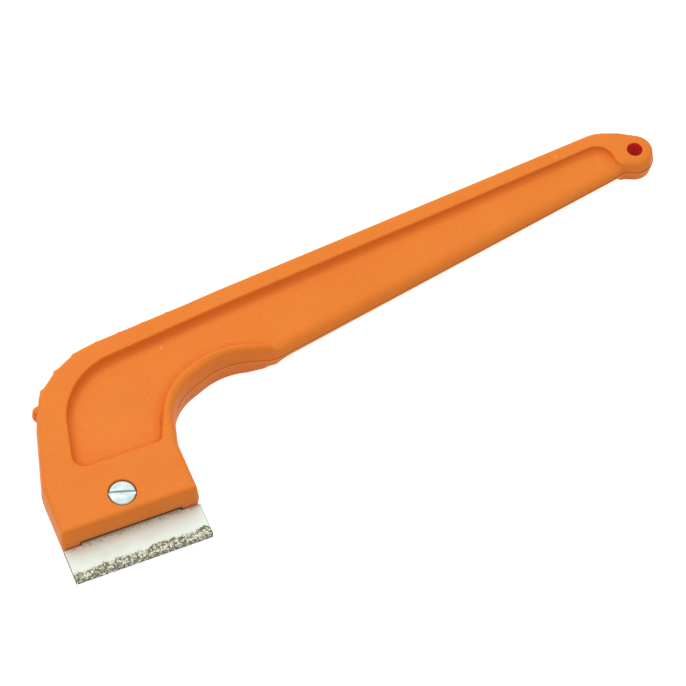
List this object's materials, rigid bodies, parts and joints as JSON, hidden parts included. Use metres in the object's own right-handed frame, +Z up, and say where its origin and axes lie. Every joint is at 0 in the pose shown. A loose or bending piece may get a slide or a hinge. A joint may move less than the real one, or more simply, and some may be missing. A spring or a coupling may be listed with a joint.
{
  "type": "grout rake",
  "caption": "Hand grout rake: angled moulded handle with a finger hold and hanging eye, and a slide-out carbide-edged steel blade clamped by a slotted screw.",
  "frame": {"origin": "centre of the bounding box's bottom face, on the surface that the tool lies on", "axes": "+X along the cutting edge towards the hanging eye, +Y from the cutting edge back towards the handle, +Z up from the surface"},
  "size_m": [0.2612, 0.103, 0.0165],
  "materials": {
    "orange_plastic": "fine satin moulded polypropylene",
    "blade_steel": "bright nickel-plated sheet",
    "carbide_grit": "rough brazed grains",
    "screw_plating": "bright zinc plated",
    "nut_plating": "zinc plated"
  },
  "bodies": {
    "handle_body": {"handle": "orange_plastic", "clamp_nut": "nut_plating"},
    "blade_body": {"blade": "blade_steel", "carbide_grit": "carbide_grit"},
    "screw_body": {"clamp_screw": "screw_plating"}
  },
  "joints": [
    {"name": "blade_slide", "type": "slide", "parent": "handle_body", "child": "blade_body", "axis": [0, -1, 0], "range_m": [0, 0.0175]},
    {"name": "clamp_screw_turn", "type": "hinge", "parent": "handle_body", "child": "screw_body", "pos_m": [-0.10497, -0.03002, 0.0165], "axis": [0, 0, 1], "range_deg": [0, 1080]}
  ]
}
